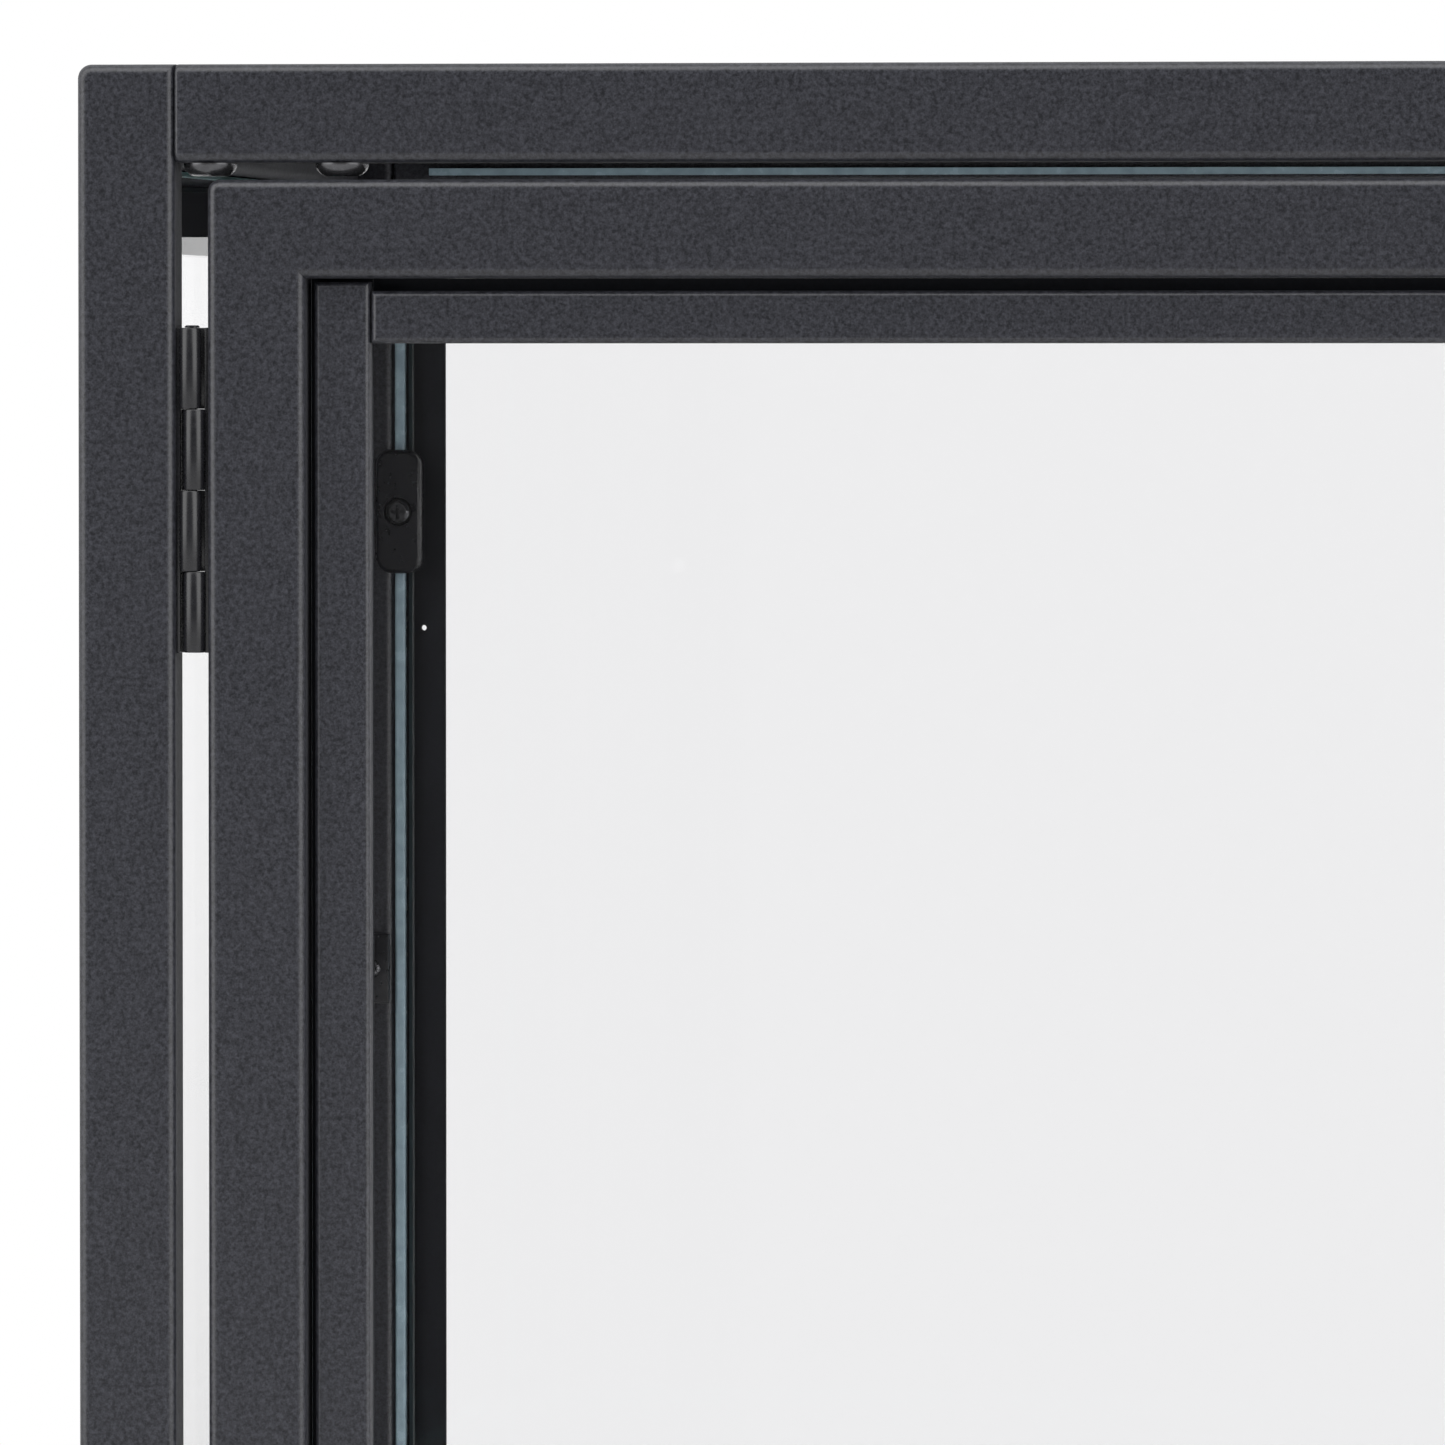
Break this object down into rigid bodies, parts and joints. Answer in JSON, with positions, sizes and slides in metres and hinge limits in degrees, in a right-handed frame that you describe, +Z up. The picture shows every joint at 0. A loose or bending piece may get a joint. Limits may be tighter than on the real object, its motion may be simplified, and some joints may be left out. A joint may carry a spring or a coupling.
{
  "type": "glass-door display cabinet",
  "caption": "Free-standing display cabinet: slim steel tube frame with glass sides, back and shelves, and two glazed doors on butt hinges.",
  "frame": {"origin": "on the floor, at the middle of the whole cabinet with its knobs", "axes": "+Z up, +Y towards the back, +X to the right seen from the front; the doors face -Y"},
  "size_m": [1, 0.442, 1],
  "materials": {
    "powder_coat": "fine-textured satin anthracite powder coat",
    "knob_coat": "satin anthracite powder coat",
    "hinge_black": "semi-gloss black coated steel",
    "clear_glass": "clear float glass, faint blue-green edge",
    "black_plastic": "moulded black plastic",
    "black_screws": "black oxide",
    "zinc_screws": "bright zinc plate",
    "zinc_plate": "bright zinc plate",
    "clear_seal": "clear soft glazing strip, faint blue-green",
    "pane_bar_black": "near-black powder coat",
    "soft_pads": "clear soft bumper",
    "foot_steel": "black coated steel with a hard plastic base"
  },
  "bodies": {
    "cabinet": {"bottom_panel": "powder_coat", "catch_body": "black_plastic", "catch_magnets": "zinc_plate", "clip_screws": "black_screws", "front_bottom_rail": "powder_coat", "front_left_post": "powder_coat", "front_right_post": "powder_coat", "front_top_rail": "powder_coat", "hinge_pins": "hinge_black", "left_bottom_rail": "powder_coat", "left_frame_hinge_leaves": "hinge_black", "left_glass": "clear_glass", "left_pane_bars": "pane_bar_black", "left_top_rail": "powder_coat", "lower_shelf": "clear_glass", "pane_clips": "black_plastic", "rail_bolts": "black_screws", "rail_tongues": "powder_coat", "rear_bottom_rail": "powder_coat", "rear_glass": "clear_glass", "rear_left_post": "powder_coat", "rear_pane_bars": "pane_bar_black", "rear_pane_seal": "clear_seal", "rear_right_post": "powder_coat", "rear_top_rail": "powder_coat", "right_bottom_rail": "powder_coat", "right_frame_hinge_leaves": "hinge_black", "right_glass": "clear_glass", "right_pane_bars": "pane_bar_black", "right_top_rail": "powder_coat", "shelf_pads": "soft_pads", "shelf_tabs": "powder_coat", "top_panel": "powder_coat", "upper_shelf": "clear_glass"},
    "left_door": {"left_door_bottom_rail": "powder_coat", "left_door_glass": "clear_glass", "left_door_glazing_beads": "powder_coat", "left_door_hinge_leaves": "hinge_black", "left_door_hinge_stile": "powder_coat", "left_door_knob": "knob_coat", "left_door_knob_stile": "powder_coat", "left_door_pane_bars": "pane_bar_black", "left_door_screws": "zinc_screws", "left_door_strike_plate": "zinc_plate", "left_door_top_rail": "powder_coat"},
    "right_door": {"right_door_bottom_rail": "powder_coat", "right_door_glass": "clear_glass", "right_door_glazing_beads": "powder_coat", "right_door_hinge_leaves": "hinge_black", "right_door_hinge_stile": "powder_coat", "right_door_knob": "knob_coat", "right_door_knob_stile": "powder_coat", "right_door_pane_bars": "pane_bar_black", "right_door_screws": "zinc_screws", "right_door_strike_plate": "zinc_plate", "right_door_top_rail": "powder_coat"},
    "front_left_foot": {"front_left_foot": "foot_steel"},
    "front_right_foot": {"front_right_foot": "foot_steel"},
    "rear_left_foot": {"rear_left_foot": "foot_steel"},
    "rear_right_foot": {"rear_right_foot": "foot_steel"}
  },
  "joints": [
    {"name": "left_door_hinge", "type": "hinge", "parent": "cabinet", "child": "left_door", "pos_m": [-0.47085, -0.196, 0.5075], "axis": [0, 0, -1], "range_deg": [0, 110]},
    {"name": "right_door_hinge", "type": "hinge", "parent": "cabinet", "child": "right_door", "pos_m": [0.47085, -0.196, 0.5075], "axis": [0, 0, 1], "range_deg": [0, 110]},
    {"name": "front_left_foot_turn", "type": "hinge", "parent": "cabinet", "child": "front_left_foot", "pos_m": [-0.4875, -0.1915, 0.01], "axis": [0, 0, 1], "continuous": true},
    {"name": "front_right_foot_turn", "type": "hinge", "parent": "cabinet", "child": "front_right_foot", "pos_m": [0.4875, -0.1915, 0.01], "axis": [0, 0, 1], "continuous": true},
    {"name": "rear_left_foot_turn", "type": "hinge", "parent": "cabinet", "child": "rear_left_foot", "pos_m": [-0.4875, 0.2135, 0.01], "axis": [0, 0, 1], "continuous": true},
    {"name": "rear_right_foot_turn", "type": "hinge", "parent": "cabinet", "child": "rear_right_foot", "pos_m": [0.4875, 0.2135, 0.01], "axis": [0, 0, 1], "continuous": true}
  ]
}
